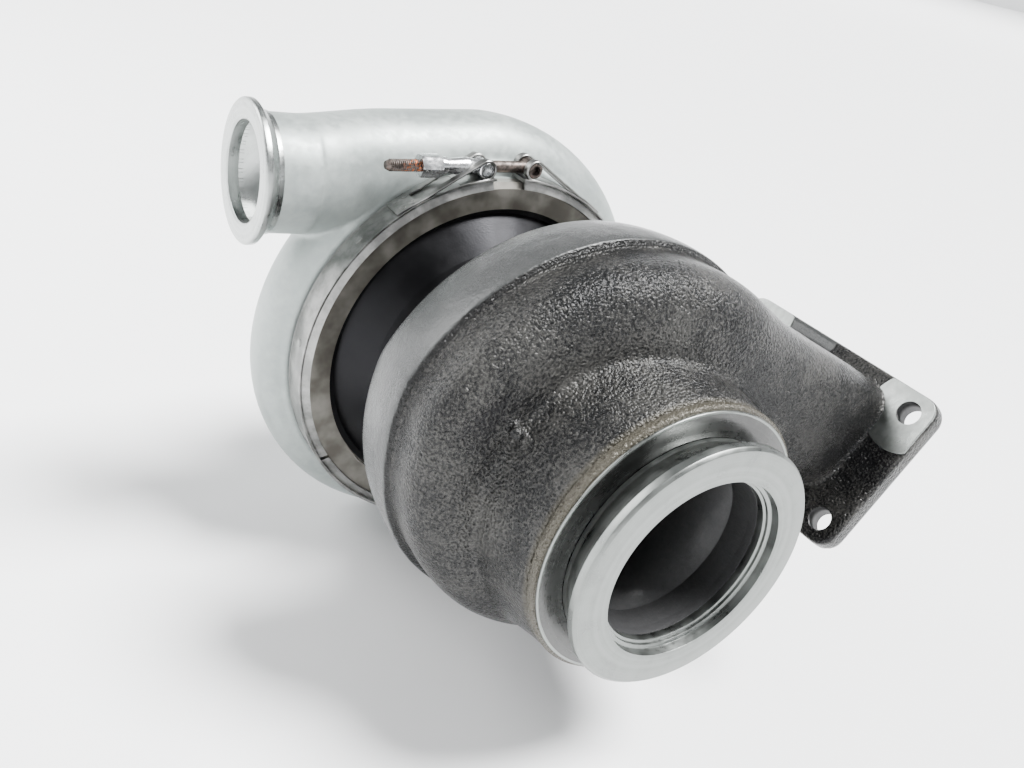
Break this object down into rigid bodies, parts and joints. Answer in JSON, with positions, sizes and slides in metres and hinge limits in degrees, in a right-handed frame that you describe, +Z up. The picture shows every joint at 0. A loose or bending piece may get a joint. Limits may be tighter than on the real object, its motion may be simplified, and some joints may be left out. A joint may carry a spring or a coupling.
{
  "type": "turbocharger",
  "caption": "Large divided-inlet turbocharger: rough iron turbine scroll with a four-hole flange, round outlet rims, and a pale compressor scroll held on by a band clamp.",
  "frame": {"origin": "centre of the turbine outlet's flat face, on the rotor axis", "axes": "+Y along the rotor axis from the turbine to the compressor, +Z up out of the oil inlet, and the compressor outlet points along -X"},
  "size_m": [0.349, 0.346, 0.2806],
  "materials": {
    "turbine_cast_iron": "rough sand casting, oiled dark grey, with machined faces",
    "clamp_plate_steel": "stamped, satin",
    "bolt_steel": "plated, satin",
    "shield_steel": "pressed sheet, satin",
    "turbine_wheel_alloy": "investment cast blades, ground shaft",
    "compressor_wheel_aluminium": "milled, bright",
    "machined_steel": "turned",
    "bearing_bronze": "turned",
    "spring_steel": "dark, smooth",
    "bearing_housing_iron": "sand casting, dark grey",
    "backplate_aluminium": "turned casting",
    "compressor_cast_aluminium": "fine pale casting with turned rims",
    "strap_stainless": "rolled stainless strip, satin",
    "t_bolt_steel": "dark bolt with rusty thread",
    "zinc_plated_steel": "zinc plated, bright",
    "seal_rubber": "smooth"
  },
  "bodies": {
    "housing": {"turbine_housing": "turbine_cast_iron", "turbine_clamp_plates": "clamp_plate_steel", "turbine_clamp_bolts": "bolt_steel", "heat_shield": "shield_steel", "bush_snap_rings": "spring_steel", "thrust_bearing": "bearing_bronze", "oil_deflector": "shield_steel", "bearing_housing": "bearing_housing_iron", "backplate": "backplate_aluminium", "compressor_housing": "compressor_cast_aluminium", "clamp_strap": "strap_stainless", "clamp_t_bolt": "t_bolt_steel", "clamp_trunnion": "zinc_plated_steel", "clamp_nut": "zinc_plated_steel", "clamp_retainers": "strap_stainless", "turbine_seal_ring": "spring_steel", "compressor_seal_ring": "spring_steel", "backplate_bolts": "bolt_steel", "housing_seal": "seal_rubber", "backplate_seal": "seal_rubber"},
    "rotor": {"turbine_shaft_wheel": "turbine_wheel_alloy", "compressor_wheel": "compressor_wheel_aluminium", "thrust_collar": "machined_steel", "flinger_sleeve": "machined_steel", "rotor_nut": "machined_steel"},
    "turbine_bush": {"turbine_journal_bush": "bearing_bronze"},
    "compressor_bush": {"compressor_journal_bush": "bearing_bronze"}
  },
  "joints": [
    {"name": "rotor_spin", "type": "hinge", "parent": "housing", "child": "rotor", "pos_m": [0, 0.16, 0], "axis": [0, 1, 0], "continuous": true},
    {"name": "turbine_bush_spin", "type": "hinge", "parent": "housing", "child": "turbine_bush", "pos_m": [0, 0.138, 0], "axis": [0, 1, 0], "continuous": true},
    {"name": "compressor_bush_spin", "type": "hinge", "parent": "housing", "child": "compressor_bush", "pos_m": [0, 0.18, 0], "axis": [0, 1, 0], "continuous": true}
  ],
  "couplings": [
    {"joint": "turbine_bush_spin", "follows": "rotor_spin", "ratio": 0.25},
    {"joint": "compressor_bush_spin", "follows": "rotor_spin", "ratio": 0.25}
  ]
}
